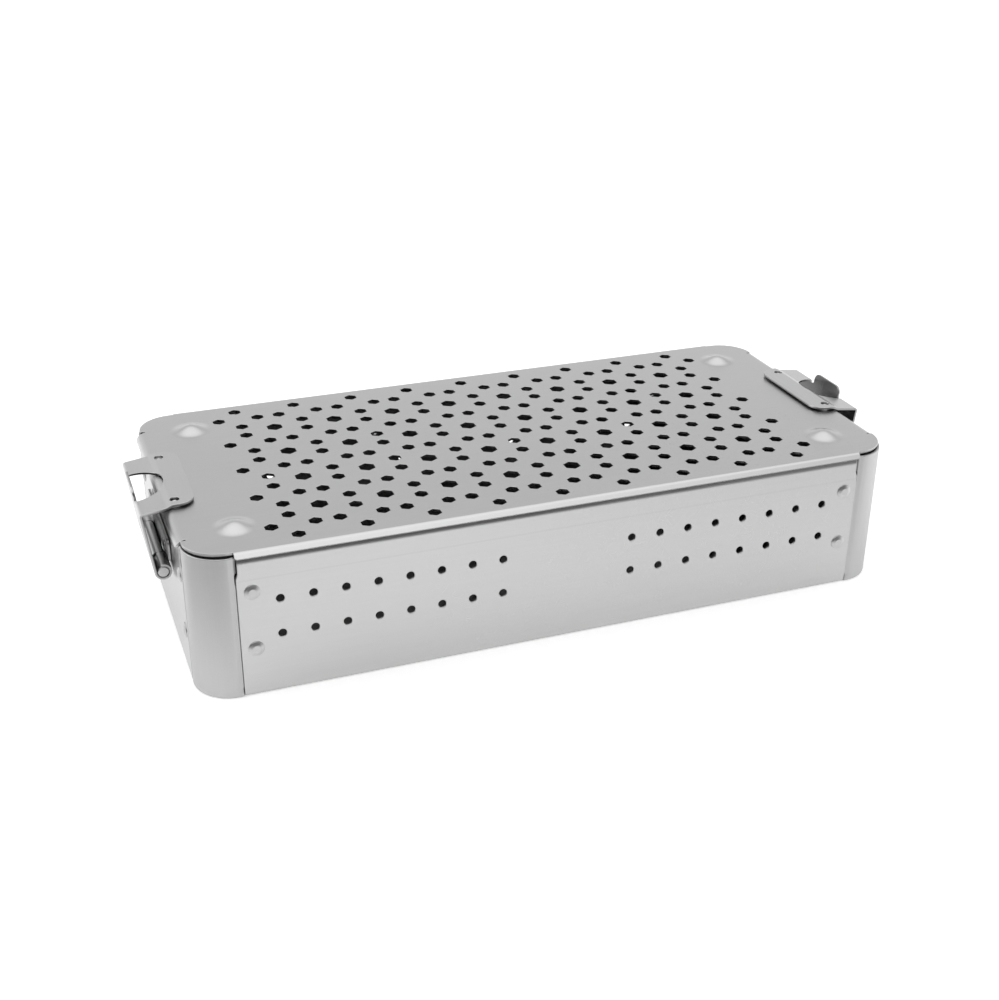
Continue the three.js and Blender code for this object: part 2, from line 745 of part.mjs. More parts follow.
// The thumb tab: the leg's own middle carried straight up through the window
function thumbTab() {
  const up = new THREE.Vector3(Math.sin(latchLean), 0, Math.cos(latchLean));
  const out = new THREE.Vector3(Math.cos(latchLean), 0, -Math.sin(latchLean));
  const low = (lidTop - windowDepth - overrun - hingeHeight) / Math.cos(latchLean);
  const high = (lidTop + thumbRise - hingeHeight - curlOuter * out.z) / Math.cos(latchLean);
  const shape = new THREE.Shape();
  shape.moveTo(-thumbHalfWidth, low);
  shape.lineTo(thumbHalfWidth, low);
  const cornerY = thumbHalfWidth - thumbCornerRadius;
  const cornerRise = high - thumbCornerRadius;
  shape.absarc(cornerY, cornerRise, thumbCornerRadius, 0, Math.PI / 2);
  shape.absarc(-cornerY, cornerRise, thumbCornerRadius, Math.PI / 2, Math.PI);
  const tab = prism(shape, curlOuter - latchSheet, curlOuter);
  tab.applyMatrix4(new THREE.Matrix4().makeBasis(new THREE.Vector3(0, 1, 0), up, out));
  return tab.translate(hingeX, 0, hingeHeight);
}

function buildEnds() {
  const bracket = buildBracketGeometry();
  const pin = buildPinGeometry();
  const latch = buildLatchGeometry();
  const rivet = buildBracketRivetGeometry();
  const ends = [["right", 1, (geometry) => geometry], ["left", -1, halfTurn]];
  for (const [name, x, placed] of ends) {
    addPart(`hinge_bracket_${name}`, placed(bracket), steel);
    addPart(`hinge_pin_${name}`, placed(pin), rivetSteel);
    addPart(`latch_${name}`, placed(latch), springSteel);
    for (const [place, y] of [["front", -1], ["back", 1]]) {
      const fastener = addPart(`bracket_rivet_${name}_${place}`, placed(rivet), rivetSteel);
      fastener.position.set(x * wallX, y * bracketRivetY, bracketRivetHeight);
    }
  }
}

buildTray();
buildInserts();
buildCornerRivets();
buildLid();
buildEnds();

export default container;
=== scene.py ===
"""Looks of a sheet-metal container for surgical instruments.

Every sheet is worked out flat, as a pattern with round-edged holes and cuts, and is then bent into
its place. Sizes are in millimetres, +X along the length, +Y to the back and +Z up from the base.
"""
import math

import bpy
import numpy as np
from mathutils import Matrix, Vector
from mathutils.geometry import delaunay_2d_cdt


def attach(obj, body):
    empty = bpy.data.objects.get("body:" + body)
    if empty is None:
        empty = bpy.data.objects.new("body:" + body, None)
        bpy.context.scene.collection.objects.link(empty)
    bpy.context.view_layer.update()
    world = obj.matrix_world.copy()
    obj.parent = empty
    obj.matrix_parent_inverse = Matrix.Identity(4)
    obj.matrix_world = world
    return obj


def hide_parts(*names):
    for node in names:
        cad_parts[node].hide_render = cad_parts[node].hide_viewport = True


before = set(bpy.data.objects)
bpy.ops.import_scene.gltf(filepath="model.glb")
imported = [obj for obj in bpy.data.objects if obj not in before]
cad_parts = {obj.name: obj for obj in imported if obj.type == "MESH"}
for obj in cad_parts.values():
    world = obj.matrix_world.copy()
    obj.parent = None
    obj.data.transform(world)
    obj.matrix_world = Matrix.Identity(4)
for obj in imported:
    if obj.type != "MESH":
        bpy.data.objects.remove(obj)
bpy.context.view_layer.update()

MM = 0.001

# Tray
SHEET = 1.0
SHEET_EDGE = 0.27
WALL_X = 118.0
WALL_Y = 54.8
WALL_TOP = 47.7
FLOOR_BEND = 1.4
RIM_BEND = 2.2
RIM_EASE = 3.6
RIM_EASE_TURN = math.radians(35)
RIM_DEPTH = 8.7
HEM_LINE = 39.6
NOTCH_WIDTH = 0.6
NOTCH_DEPTH = 7.4
NOTCH_TAPER = 2.0
CORNER_BEND = 12.2
SEAM_X = 104.6
SEAM_Y = 41.4
SEAM_GAP = 0.16
SIDE_HOLE = 1.25
SIDE_HOLE_PITCH = 10.0
SIDE_HOLE_COLUMNS = 8
SIDE_HOLE_OUTER = 91.9
SIDE_HOLE_HEIGHTS = (20.1, 32.0)

# Corner pieces and their rivets
CORNER_TOP = 47.55
CORNER_TAB = 10.2
TAB_DEPTH = 1.1
TAB_LOW = 3.2
TAB_HIGH = 38.5
JOGGLE = 0.4
JOGGLE_RUN = 2.0
TAB_DROP_RUN = 0.22
FOOT_ROUND = 0.9
FOOT_TUCK = 0.85
NOTCH_BACKING = 0.7
NOTCH_BACKING_LOW = 41.6
NOTCH_BACKING_HIGH = 42.4
NOTCH_BACKING_SINK = 0.4
CORNER_ROWS = (0.3, 0.5, 0.7, 0.9, 1.36, 1.82, 2.28, 2.74)
RIVET_INSET = 4.6
RIVET_HEIGHTS = (16.3, 35.5)
RIVET_HOLE = 1.5
RIVET_HEAD = 2.45
RIVET_BALL = 4.9
RIVET_RISE = 0.165
RIVET_FLAT = 1.2
RIVET_SHANK = 1.3
RIVET_TAIL = 2.2
RIVET_TAIL_LOW = -2.72
RIVET_TAIL_HIGH = -2.15
RIVET_SEAT = 0.03

# Lid
LID_TOP = 49.0
LID_SIDE_BEND = 1.5
LID_SIDE_SWEEP = math.radians(50)
LID_SIDE_LIP = 1.4
LID_END_BEND = 3.5
LID_END_SWEEP = math.radians(75)
LID_SIDE_FACE = 55.9
LID_REACH_X = 117.6
LID_REACH_Y = 53.7
LID_CORNER = 11.4
LID_SLIT = 0.7
HEX_PITCH = 21.0
HEX_COLUMNS = 8
HEX_ROWS = 4
HEX_PAIR = 3.78
LARGE_HEX = 5.0
SMALL_HEX = 4.0
HEX_ROUND = 0.22
DOME_X = 101.0
DOME_Y = 38.0
DOME_RADIUS = 7.1
DOME_HEIGHT = 1.9
PIP_RADIUS = 0.95
PIP_SIDE = 0.3
PIP_DOME = 0.7
PIP_ROOT = -0.4

# Hinges and latches
HINGE_X = 120.98
HINGE_Z = 28.0
PIN = 1.8
CURL = 2.68
THIN_SHEET = 0.8
LATCH_WIDTH = 20.2
LATCH_LEAN = math.radians(7.6)
PAD_EDGE = 108.9
PAD_TOP = 50.4
PAD_CORNER = 5.5
STEP_X = 116.2
STEP_RUN = 1.9
STEP_DROP = 0.85
STEP_BEND = 2.0
SHOULDER_Z = 48.4
SHOULDER_BEND = 1.1
LATCH_SWEEP = math.radians(280)
WINDOW_X = 116.1
WINDOW_WIDTH = 10.2
WINDOW_CORNER = 10.0
WINDOW_FOOT = 47.2
THUMB_WIDTH = 8.0
THUMB_TOP = 51.6
THUMB_CORNER = 2.6
SPRING_HOLE = 1.5
SPRING_HOLE_X = 115.0
SPRING_HOLE_Y = 16.2
KNUCKLE = 11.2
KNUCKLE_GAP = 0.3
KNUCKLE_ROOM = 0.6
BRACKET_FACE = 118.3
BRACKET_TOP = 38.4
BRACKET_EAR = 30.98
BRACKET_WIDTH = 20.0
BRACKET_SWEEP = math.radians(300)
BRACKET_RIVET_Y = 13.5
BRACKET_RIVET_Z = 34.0
BRACKET_RIVET_HOLE = 1.3
BRACKET_RIVET_HEAD = 2.0
BRACKET_RIVET_SEAT = 1.15
BRACKET_RIVET_SIDE = 1.2
BRACKET_RIVET_DOME = 0.75
BRACKET_RIVET_SHANK = 1.1
BRACKET_RIVET_TAIL_LOW = -1.55
BRACKET_RIVET_TAIL_HIGH = -1.05
FINE_EDGE = 0.14


# Flat outlines, each a pair of arrays: points, and unit normals that point into the metal on the left

def rounded(corners, step=math.radians(10)):
    """A closed outline with each corner (x, y, radius) turned into a tangent arc.

    On the arc, point = centre + radius * normal.
    """
    p = np.array([c[:2] for c in corners], float)
    radius = [c[2] for c in corners]
    side = np.roll(p, -1, 0) - p
    heading = np.arctan2(side[:, 1], side[:, 0])
    points = []
    normals = []
    for i in range(len(p)):
        before = heading[i - 1]
        turn = (heading[i] - before + math.pi) % (2 * math.pi) - math.pi
        steps = max(2, math.ceil(abs(turn) / step))
        angle = before + turn * np.arange(steps + 1) / steps
        n = np.stack([-np.sin(angle), np.cos(angle)], 1)
        back = radius[i] * math.tan(abs(turn) / 2)
        start = p[i] - back * np.array([math.cos(before), math.sin(before)])
        centre = start + math.copysign(radius[i], turn) * n[0]
        points.append(centre - math.copysign(radius[i], turn) * n)
        normals.append(n)
    return np.concatenate(points), np.concatenate(normals)


def round_hole(x, y, radius, sides=20):
    """A round hole, walked clockwise so that the metal lies to the left."""
    angle = -2 * math.pi * np.arange(sides) / sides
    n = np.stack([np.cos(angle), np.sin(angle)], 1)
    return np.array([x, y]) + radius * n, n


def hex_holes(places, across):
    """Copies of one hexagonal hole with small round corners, its flats facing along x."""
    radius = across / math.sqrt(3)
    angle = math.pi / 2 - math.pi / 3 * np.arange(6)
    corners = [(radius * math.cos(a), radius * math.sin(a), HEX_ROUND) for a in angle]
    p, n = rounded(corners, math.radians(30))
    return [(p + place, n) for place in places]


def four_ways(corners):
    """The corners of one quarter, mirrored about both axes into a whole outline."""
    back = list(reversed(corners))
    left = [(-x, y, r) for x, y, r in back]
    opposite = [(-x, -y, r) for x, y, r in corners]
    right = [(x, -y, r) for x, y, r in back]
    return corners + left + opposite + right


def neighbours(size, first=0):
    """Pairs of neighbouring points round a closed outline."""
    index = np.arange(size)
    return np.stack([index, np.roll(index, -1)], 1) + first


def inside(points, loops):
    """True in the metal, where a ray to the right crosses the outlines an odd number of times."""
    count = np.zeros(len(points), int)
    x, y = points[:, :1], points[:, 1:]
    for loop in loops:
        a = loop
        b = np.roll(loop, -1, 0)
        crosses = (a[:, 1] > y) != (b[:, 1] > y)
        rise = np.where(b[:, 1] == a[:, 1], 1.0, b[:, 1] - a[:, 1])
        at = a[:, 0] + (y - a[:, 1]) * (b[:, 0] - a[:, 0]) / rise
        count += (crosses & (at > x)).sum(1)
    return count % 2 == 1


def cut_by_lines(loop, edge, lines):
    """Adds a point wherever the loop, moved into the metal by edge, crosses a bend line (axis, value)."""
    p, n = loop
    inner = p + edge * n
    keys = [np.arange(len(p), dtype=float)]
    for axis, value in lines:
        a = inner[:, axis]
        b = np.roll(a, -1)
        gap = np.where(b == a, 1.0, b - a)
        t = (value - a) / gap
        hit = (b != a) & (t > 1e-5) & (t < 1 - 1e-5)
        keys.append(np.flatnonzero(hit) + t[hit])
    key = np.unique(np.concatenate(keys))
    low = np.floor(key).astype(int)
    share = (key - low)[:, None]
    high = (low + 1) % len(p)
    return p[low] * (1 - share) + p[high] * share, n[low] * (1 - share) + n[high] * share


# Bending

class Strip:
    """The section of a bent sheet's show face: straight runs and arcs, sampled by distance along it."""

    def __init__(self, x, y, heading):
        self.s, self.x, self.y, self.h = [0.0], [x], [y], [heading]
        self.lines = []

    def run(self, length):
        self.s.append(self.s[-1] + length)
        self.x.append(self.x[-1] + length * math.cos(self.h[-1]))
        self.y.append(self.y[-1] + length * math.sin(self.h[-1]))
        self.h.append(self.h[-1])
        return self

    def bend(self, radius, turn, step=math.radians(9)):
        """x = cx + r sin h, y = cy - r cos h, with the heading h turning evenly."""
        count = max(2, math.ceil(abs(turn) / math.radians(1)))
        h = self.h[-1] + turn * np.arange(1, count + 1) / count
        r = math.copysign(radius, turn)
        cx = self.x[-1] - r * math.sin(self.h[-1])
        cy = self.y[-1] + r * math.cos(self.h[-1])
        start = self.s[-1]
        length = radius * abs(turn)
        self.lines += list(np.linspace(start, start + length, max(2, math.ceil(abs(turn) / step)) + 1))
        self.s += list(start + length * np.arange(1, count + 1) / count)
        self.x += list(cx + r * np.sin(h))
        self.y += list(cy - r * np.cos(h))
        self.h += list(h)
        return self

    def at(self, s, depth):
        """A point at distance s, sunk by depth to the left of the heading. Both ends carry on straight."""
        h = np.interp(s, self.s, self.h)
        before = np.minimum(s, 0)
        after = np.maximum(s - self.s[-1], 0)
        x = np.interp(s, self.s, self.x) + (before + after) * np.cos(h) - depth * np.sin(h)
        y = np.interp(s, self.s, self.y) + (before + after) * np.sin(h) + depth * np.cos(h)
        return x, y

    def along(self, x):
        """The distance at which the strip first reaches x."""
        return float(np.interp(x, self.x, self.s))


def strip_through(corners):
    """A strip through corners (x, y, radius), each turned into a tangent arc."""
    p = np.array([c[:2] for c in corners], float)
    side = p[1:] - p[:-1]
    heading = np.arctan2(side[:, 1], side[:, 0])
    length = np.hypot(side[:, 0], side[:, 1])
    turn = (np.diff(heading) + math.pi) % (2 * math.pi) - math.pi
    cut = np.array([c[2] for c in corners[1:-1]]) * np.tan(np.abs(turn) / 2)
    strip = Strip(p[0, 0], p[0, 1], heading[0])
    for i in range(len(length)):
        before = cut[i - 1] if i > 0 else 0.0
        after = cut[i] if i < len(cut) else 0.0
        strip.run(length[i] - before - after)
        if i < len(cut):
            strip.bend(corners[i + 1][2], turn[i])
    return strip


def bent_sheet(name, outline, holes, thickness, place, lines=(), rings=(), edge=FINE_EDGE, shade=None):
    """A sheet cut flat along its outlines and carried to its place by place(u, v, w).

    Both faces are one flat triangulation between the outlines. Each cut edge is a quarter round, a wall and
    a quarter round: offset = edge * (1 - sin a), depth = edge * (1 - cos a). Normals follow the bend.
    """
    loops = [cut_by_lines(loop, edge, lines) for loop in [outline, *holes]]
    inner = [p + edge * n for p, n in loops]
    start = np.cumsum([0] + [len(p) for p in inner])
    flat = np.concatenate(inner)
    links = [neighbours(len(p), s) for p, s in zip(inner, start)]
    for axis, value in lines:
        on = np.flatnonzero(np.abs(flat[:, axis] - value) < 1e-6)
        on = on[np.argsort(flat[on, 1 - axis])]
        if len(on) > 1:
            middle = (flat[on[:-1]] + flat[on[1:]]) / 2
            keep = inside(middle, inner)
            links.append(np.stack([on[:-1][keep], on[1:][keep]], 1))
    for ring in rings:
        links.append(neighbours(len(ring), len(flat)))
        flat = np.concatenate([flat, ring])
    links = np.concatenate(links)
    links = links[links[:, 0] != links[:, 1]]
    out = delaunay_2d_cdt([Vector(p) for p in flat], links.tolist(), [], 0, 1e-9)
    plane = np.array([tuple(v) for v in out[0]])
    faces = np.array(out[2], int)
    home = np.full(len(flat), -1)
    for new, old in enumerate(out[3]):
        home[list(old)] = new
    faces = faces[inside(plane[faces].mean(1), inner)]

    count = len(plane)
    zero = np.zeros(count)
    local = [np.column_stack([plane, zero]), np.column_stack([plane, zero + thickness])]
    normal = [np.column_stack([zero, zero, zero - 1]), np.column_stack([zero, zero, zero + 1])]
    tris = [faces[:, ::-1], faces + count]
    quads = []
    size = 2 * count
    angle = np.radians([30, 60, 90])
    rows = [(edge * (1 - math.sin(a)), edge * (1 - math.cos(a)), -math.cos(a), -math.sin(a)) for a in angle]
    rows += [(o, thickness - d, -up, out_) for o, d, up, out_ in reversed(rows)]
    for (p, n), first in zip(loops, start):
        m = len(p)
        near = home[first:first + m]
        index = [near]
        for offset, depth, up, outward in rows:
            local.append(np.column_stack([p + offset * n, np.full(m, depth)]))
            normal.append(np.column_stack([outward * n, np.full(m, up)]))
            index.append(np.arange(m) + size)
            size += m
        index.append(near + count)
        for a, b in zip(index[:-1], index[1:]):
            quads.append(np.stack([a, np.roll(a, -1), np.roll(b, -1), b], 1))
    local = np.concatenate(local)
    normal = np.concatenate(normal)
    tris = np.concatenate(tris)
    quads = np.concatenate(quads)
    points, normals, flip = carried(local, normal, place)
    if flip:
        tris = tris[:, ::-1]
        quads = quads[:, ::-1]
    piece = make_mesh(name, points, tris.tolist() + quads.tolist(), normals)
    # Painted shade for the finish: the depth in the sheet, 0 on the outer face to 1 on the inner, or more
    # where shade() paints it
    painted_shade = local[:, 2] / thickness
    if shade:
        painted_shade = np.maximum(painted_shade, shade(local[:, 0], local[:, 1]))
    piece.data.attributes.new("depth", "FLOAT", "POINT").data.foreach_set("value", painted_shade.astype(np.float32))
    return piece


def carried(local, normal, place):
    """place() applied to points, and the inverse transpose of its slopes to the normals."""
    h = 1e-3
    u, v, w = local.T
    slope = np.stack([
        (place(u + h, v, w) - place(u - h, v, w)) / (2 * h),
        (place(u, v + h, w) - place(u, v - h, w)) / (2 * h),
        (place(u, v, w + h) - place(u, v, w - h)) / (2 * h),
    ], 2)
    normals = np.einsum("nji,nj->ni", np.linalg.inv(slope), normal)
    normals /= np.linalg.norm(normals, axis=1)[:, None]
    return place(u, v, w), normals, np.median(np.linalg.det(slope)) < 0


def make_mesh(name, points, faces, normals):
    """A mesh object from points in millimetres, shaded by the normals that are given for its points."""
    mesh = bpy.data.meshes.new(name)
    mesh.from_pydata((points * MM).tolist(), [], faces, shade_flat=False)
    mesh.validate()
    mesh.normals_split_custom_set_from_vertices(normals.tolist())
    mesh.update()
    piece = bpy.data.objects.new(name, mesh)
    bpy.context.scene.collection.objects.link(piece)
    return piece


def turned(name, profile, place, sides=40, step=math.radians(15)):
    """A solid of revolution: (radius, height) corners with their own rounding, spun about the height axis.

    point = (radius * cos a, radius * sin a, height). The profile starts and ends on the axis, where each
    pole is one point that a ring of triangles meets.
    """
    p, n = rounded(profile, step)
    keep = (p[:, 0] > 1e-6) | (np.abs(n[:, 0]) < 0.2)
    p, n = p[keep], n[keep]
    angle = 2 * math.pi * np.arange(sides) / sides
    ring = len(p)

    def spun(line):
        around = [np.outer(np.cos(angle), line[:, 0]), np.outer(np.sin(angle), line[:, 0])]
        return np.stack([*around, np.tile(line[:, 1], (sides, 1))], 2).reshape(-1, 3)

    home = np.arange(sides * ring).reshape(sides, ring)
    home[:, 0] = 0
    home[:, -1] = ring - 1
    after = np.roll(home, -1, 0)
    first = np.stack([home[:, 0], after[:, 1], home[:, 1]], 1)
    last = np.stack([home[:, -2], after[:, -2], home[:, -1]], 1)
    band = np.stack([home[:, 1:-2], after[:, 1:-2], after[:, 2:-1], home[:, 2:-1]], 2).reshape(-1, 4)
    used = np.unique(home)
    new = np.zeros(sides * ring, int)
    new[used] = np.arange(len(used))
    local = spun(p)[used]
    points = place(local)
    normals = place(local - spun(n)[used]) - points
    axes = place(np.eye(3)) - place(np.zeros((3, 3)))
    turn = -1 if np.linalg.det(axes) < 0 else 1
    faces = [new[tri][::turn].tolist() for tri in np.concatenate([first, last])]
    faces += [new[quad][::turn].tolist() for quad in band]
    return make_mesh(name, points, faces, normals)


def smooth(x, low, high):
    """3t^2 - 2t^3 from 0 at low to 1 at high."""
    t = np.clip((x - low) / (high - low), 0, 1)
    return t * t * (3 - 2 * t)


# Finishes

class Socket:
    """A shader value that can be written in sums: each operator adds a Math node."""

    def __init__(self, tree, link):
        self.tree, self.link = tree, link

    def maths(self, operation, *others):
        return node(self.tree, "ShaderNodeMath", {"operation": operation}, dict(enumerate((self, *others))))

    def __add__(self, other):
        return self.maths("ADD", other)

    def __sub__(self, other):
        return self.maths("SUBTRACT", other)

    def __mul__(self, other):
        return self.maths("MULTIPLY", other)

    def __truediv__(self, other):
        return self.maths("DIVIDE", other)

    def __rsub__(self, other):
        return self.maths("MULTIPLY", -1.0) + other

    __radd__ = __add__
    __rmul__ = __mul__


def node(tree, kind, settings, inputs, output=0):
    """One node: its settings first, then the values or links of its sockets."""
    made = tree.nodes.new(kind)
    for key, value in settings.items():
        setattr(made, key, value)
    for key, value in inputs.items():
        if isinstance(value, Socket):
            tree.links.new(value.link, made.inputs[key])
        else:
            made.inputs[key].default_value = value
    return Socket(tree, made.outputs[output])


def noise(tree, where, scale, detail=2.0, roughness=0.5):
    """Cloudy noise from 0 to 1, with scale cells to the metre."""
    inputs = {"Vector": where, "Scale": scale, "Detail": detail, "Roughness": roughness}
    return node(tree, "ShaderNodeTexNoise", {}, inputs)


def stretched(tree, where, along, across, up):
    """A place times a number of its own along each axis."""
    inputs = {"Vector": where, "Scale": (along, across, up)}
    return node(tree, "ShaderNodeMapping", {"vector_type": "POINT"}, inputs)


def ramp(tree, value, low, high, from_value=0.0, to_value=1.0):
    """A straight change from from_value at low to to_value at high, and level beyond them."""
    inputs = {"Value": value, "From Min": low, "From Max": high, "To Min": from_value, "To Max": to_value}
    return node(tree, "ShaderNodeMapRange", {"clamp": True}, inputs)


def satin_steel(name, tone, grain, scuffs=1.0, hem_line_shade=0.0, matt=0.24):
    """Satin stainless steel: a fine grain drawn along one axis, cloudy patches, and a few faint scuffs.

    Inner faces are darkened by painted shade, from the depth attribute: the depth in the sheet, 0 outside
    to 1 inside, raised where a piece paints shade of its own. Where a line strength is given, it paints a
    faint line of shade along HEM_LINE, where the folded rim's edge ends inside the wall.
    """
    material = bpy.data.materials.new(name)
    material.use_nodes = True
    tree = material.node_tree
    shader = tree.nodes["Principled BSDF"]
    where = node(tree, "ShaderNodeTexCoord", {}, {}, output=3)
    drawn = noise(tree, stretched(tree, where, *grain), 1.0, 3.0, 0.6)
    pebble = noise(tree, where, 2600.0, 2.0, 0.6)
    cloud = noise(tree, where, 22.0, 3.0, 0.55)
    wide = noise(tree, where, 9.0, 2.0, 0.5)
    scuff_way = noise(tree, where, 60.0, 2.0, 0.5)
    bent = node(tree, "ShaderNodeVectorMath", {"operation": "ADD"}, {0: where, 1: scuff_way})
    scuff = noise(tree, stretched(tree, bent, 900.0, 110.0, 300.0), 1.0, 2.0, 0.5)
    patch = ramp(tree, wide, 0.5, 0.62)
    scuff_mask = ramp(tree, scuff, 0.66, 0.72) * patch * scuffs
    shade = 0.93 + drawn * 0.06 + cloud * 0.05 + pebble * 0.03
    shade = shade + scuff_mask * 0.035
    # Painted shade: inner faces, and places that a piece marks, are darkened by up to 0.55
    depth = node(tree, "ShaderNodeAttribute", {"attribute_name": "depth"}, {}, output=2)
    shade = shade * (1 - depth * 0.55)
    # A painted line of shade along HEM_LINE, where the folded rim's edge ends inside the wall
    if hem_line_shade:
        split = tree.nodes.new("ShaderNodeSeparateXYZ")
        tree.links.new(where.link, split.inputs[0])
        off = (Socket(tree, split.outputs["Z"]) - HEM_LINE * MM).maths("ABSOLUTE")
        shade = shade * (1 - ramp(tree, off, 0.0001, 0.0004, hem_line_shade, 0.0))
    mixed = node(tree, "ShaderNodeMix", {"data_type": "RGBA", "blend_type": "MULTIPLY"},
                 {0: 1.0, 6: (tone, tone, tone, 1.0), 7: shade}, output=2)
    tree.links.new(mixed.link, shader.inputs["Base Color"])
    rough = matt + drawn * 0.05 + cloud * 0.06 - scuff_mask * 0.08
    tree.links.new(rough.link, shader.inputs["Roughness"])
    relief = drawn * 0.6 + pebble * 0.4 - scuff_mask * 0.3
    bump = node(tree, "ShaderNodeBump", {}, {"Strength": 0.06, "Distance": 0.0001, "Height": relief})
    tree.links.new(bump.link, shader.inputs["Normal"])
    shader.inputs["Metallic"].default_value = 1.0
    return material


# The tray's last value, 0.05, is the strength of its painted shade line along HEM_LINE
tray_steel = satin_steel("tray satin steel", 0.61, (60.0, 900.0, 900.0), 1.0, 0.05)
bracket_steel = satin_steel("bracket satin steel", 0.60, (900.0, 60.0, 900.0))
lid_steel = satin_steel("lid satin steel", 0.60, (60.0, 900.0, 900.0))
corner_steel = satin_steel("corner satin steel", 0.57, (900.0, 900.0, 60.0), matt=0.34)
latch_steel = satin_steel("latch satin steel", 0.62, (900.0, 60.0, 900.0))
rivet_steel = satin_steel("rivet satin steel", 0.61, (300.0, 300.0, 300.0), 0.0, matt=0.3)


def finish(piece, body, slot, material, *nodes):
    """Gives a piece its finish and body, and hides the solids that it is shown in place of."""
    piece.data.materials.append(material)
    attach(piece, body)
    if nodes:
        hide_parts(*nodes)
    return piece


# Tray

def hex_grid():
    """Centres of the large hexagonal holes, in rows and columns about the middle."""
    x = (np.arange(HEX_COLUMNS) - (HEX_COLUMNS - 1) / 2) * HEX_PITCH
    y = (np.arange(HEX_ROWS) - (HEX_ROWS - 1) / 2) * HEX_PITCH
    return np.stack(np.meshgrid(x, y), 2).reshape(-1, 2)


def make_tray():
    """The floor and four walls of one sheet, each wall with a rim that is rolled inwards.

    The roll starts on an easy radius and ends on a tight one, so that its width is twice RIM_BEND:
    easy * (1 - cos turn) + tight * (1 + cos turn) = 2 * RIM_BEND.
    """
    flat_x = WALL_X - FLOOR_BEND
    flat_y = WALL_Y - FLOOR_BEND
    wall = Strip(0.0, 0.0, 0.0)
    wall.bend(FLOOR_BEND, math.pi / 2)
    tight = (2 * RIM_BEND - RIM_EASE * (1 - math.cos(RIM_EASE_TURN))) / (1 + math.cos(RIM_EASE_TURN))
    rise = RIM_EASE * math.sin(RIM_EASE_TURN) + tight * (1 - math.sin(RIM_EASE_TURN))
    wall.run(WALL_TOP - FLOOR_BEND - rise)
    wall.bend(RIM_EASE, RIM_EASE_TURN)
    wall.bend(tight, math.pi - RIM_EASE_TURN)
    wall.run(RIM_DEPTH - RIM_BEND)
    reach = wall.s[-1]

    def up_wall(z):
        return FLOOR_BEND * math.pi / 2 + z - FLOOR_BEND

    foot = up_wall(WALL_TOP - NOTCH_DEPTH)
    end_y = SEAM_Y - SEAM_GAP / 2
    end_x = SEAM_X - SEAM_GAP / 2
    quarter = [
        (flat_x + reach, end_y - NOTCH_WIDTH, 0.6),
        (flat_x + foot + NOTCH_TAPER, end_y - NOTCH_WIDTH, 0.5),
        (flat_x + foot, end_y, 0.4),
        (flat_x, end_y, 0.3),
        (flat_x, flat_y, CORNER_BEND - FLOOR_BEND),
        (end_x, flat_y, 0.3),
        (end_x, flat_y + foot, 0.4),
        (end_x - NOTCH_WIDTH, flat_y + foot + NOTCH_TAPER, 0.5),
        (end_x - NOTCH_WIDTH, flat_y + reach, 0.6),
    ]
    holes = hex_holes(hex_grid(), LARGE_HEX)
    for side in (-1, 1):
        for z in SIDE_HOLE_HEIGHTS:
            for k in range(SIDE_HOLE_COLUMNS):
                x = SIDE_HOLE_OUTER - k * SIDE_HOLE_PITCH
                y = side * (flat_y + up_wall(z))
                holes += [round_hole(end * x, y, SIDE_HOLE) for end in (-1, 1)]
        for z in RIVET_HEIGHTS:
            on_side = side * (flat_y + up_wall(z))
            on_end = flat_x + up_wall(z)
            for end in (-1, 1):
                holes.append(round_hole(end * (SEAM_X - RIVET_INSET), on_side, RIVET_HOLE))
                holes.append(round_hole(end * on_end, side * (SEAM_Y - RIVET_INSET), RIVET_HOLE))
        bracket_rivet = flat_x + up_wall(BRACKET_RIVET_Z)
        for end in (-1, 1):
            holes.append(round_hole(end * bracket_rivet, side * BRACKET_RIVET_Y, BRACKET_RIVET_HOLE))

    def place(u, v, w):
        a, b = wall.at(np.abs(u) - flat_x, w)
        c, d = wall.at(np.abs(v) - flat_y, w)
        folds_x = np.abs(u) > flat_x
        folds_y = (np.abs(v) > flat_y) & ~folds_x
        x = np.where(folds_x, np.sign(u) * (flat_x + a), u)
        y = np.where(folds_y, np.sign(v) * (flat_y + c), v)
        z = np.where(folds_x, b, np.where(folds_y, d, w))
        return np.stack([x, y, z], 1)

    lines = [(0, sign * (flat_x + s)) for s in wall.lines for sign in (-1, 1)]
    lines += [(1, sign * (flat_y + s)) for s in wall.lines for sign in (-1, 1)]
    outline = rounded(four_ways(quarter))
    tray = bent_sheet("tray_sheet", outline, holes, SHEET, place, lines, edge=SHEET_EDGE)
    finish(tray, "tray", "tray_sheet", tray_steel, "tray_pan")


